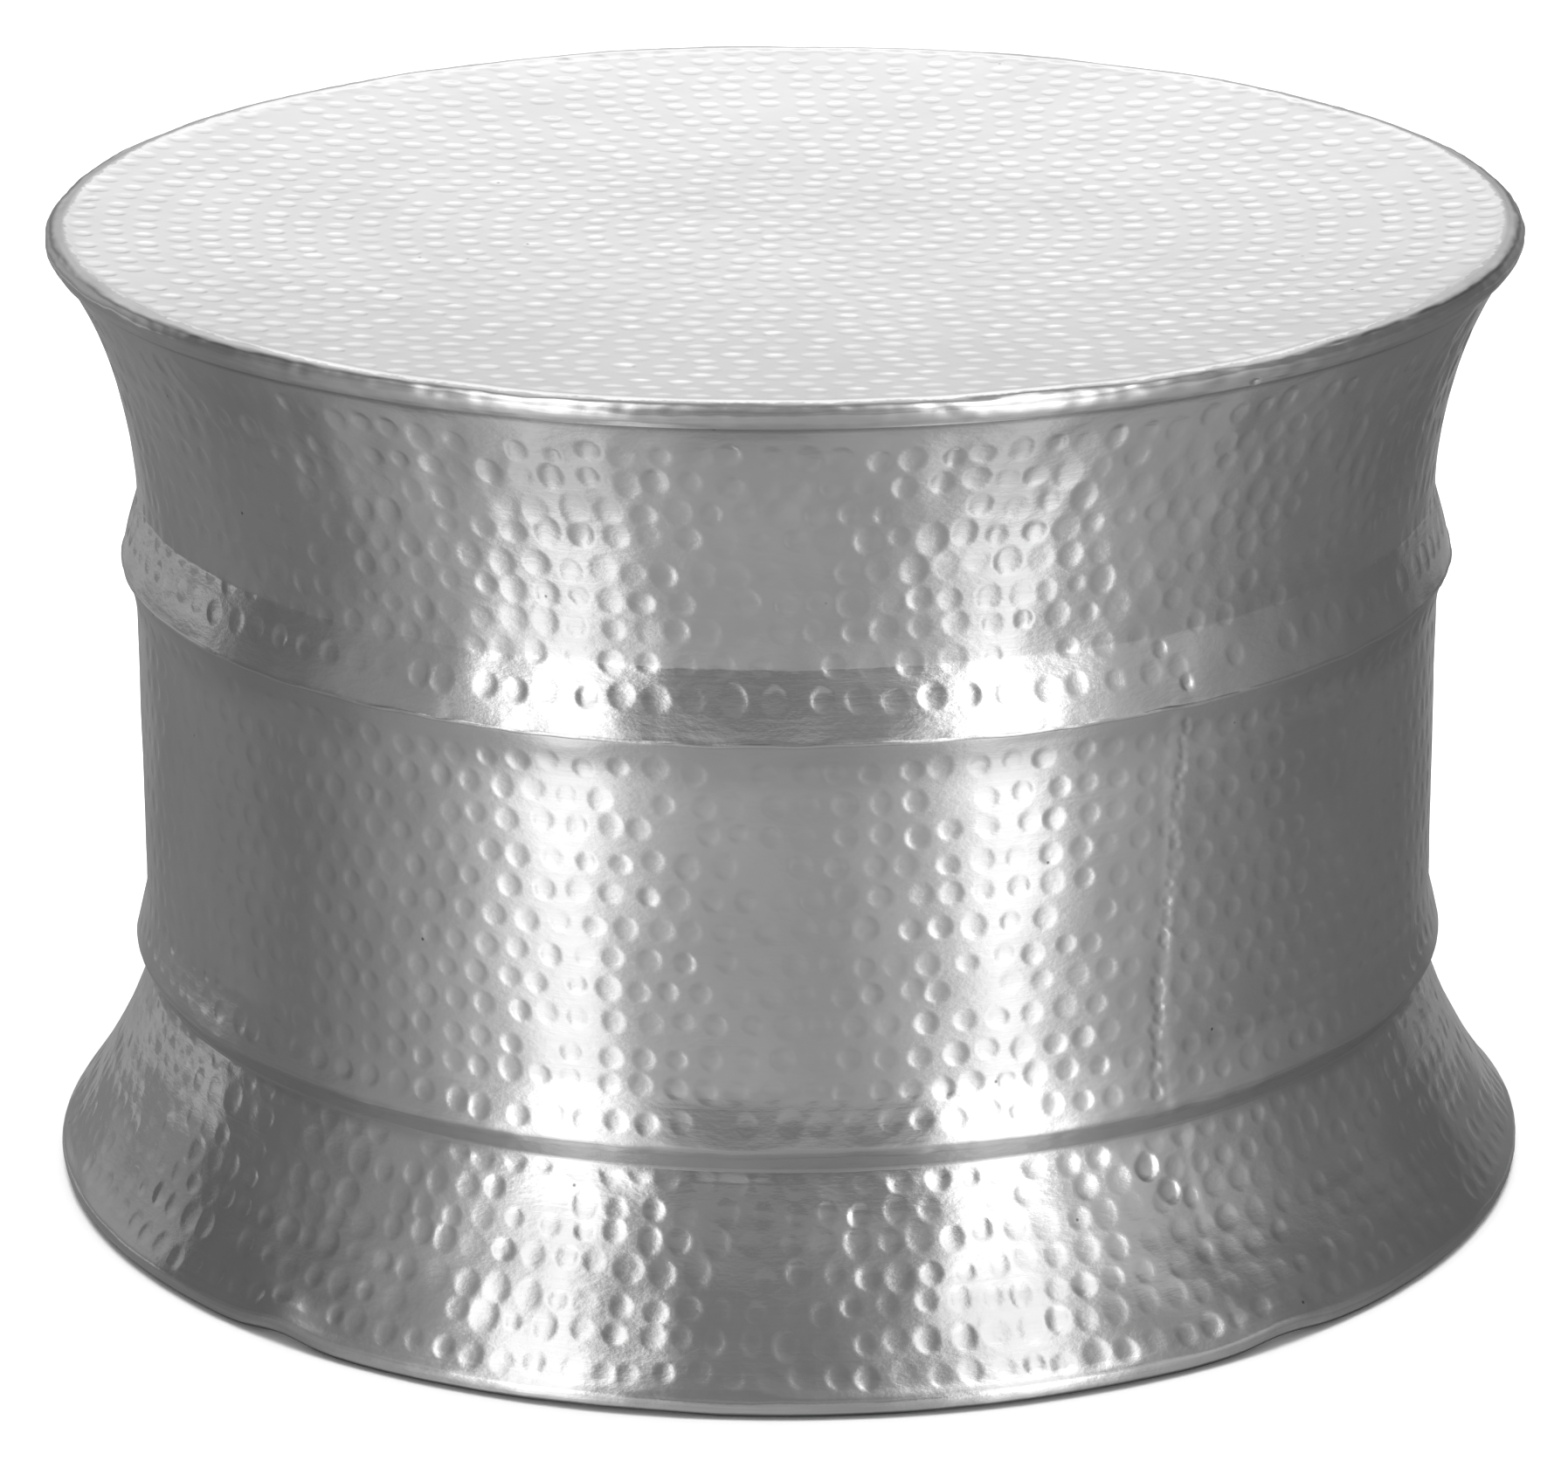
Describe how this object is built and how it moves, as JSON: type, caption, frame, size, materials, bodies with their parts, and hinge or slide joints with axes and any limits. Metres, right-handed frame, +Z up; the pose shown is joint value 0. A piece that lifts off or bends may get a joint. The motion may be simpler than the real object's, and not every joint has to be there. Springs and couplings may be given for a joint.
{
  "type": "coffee table",
  "caption": "Round waisted drum coffee table of hammered silver aluminium sheet with a slightly dished top, raised beads and a flared base.",
  "frame": {"origin": "on the floor, at the middle of the round foot", "axes": "+Z up along the drum's axis; -Y faces the viewer of the picture, +X is to the viewer's right"},
  "size_m": [0.6198, 0.6198, 0.4042],
  "materials": {
    "top_aluminium": "hammered and polished",
    "flare_aluminium": "hammered and polished",
    "drum_aluminium": "hammered and polished",
    "skirt_aluminium": "hammered and polished",
    "rim_wire_steel": "drawn wire",
    "base_wire_steel": "drawn wire"
  },
  "bodies": {
    "root": {"table_top": "top_aluminium", "upper_flare": "flare_aluminium", "mid_drum": "drum_aluminium", "base_flare": "skirt_aluminium", "rim_wire": "rim_wire_steel", "base_wire": "base_wire_steel"}
  },
  "joints": []
}
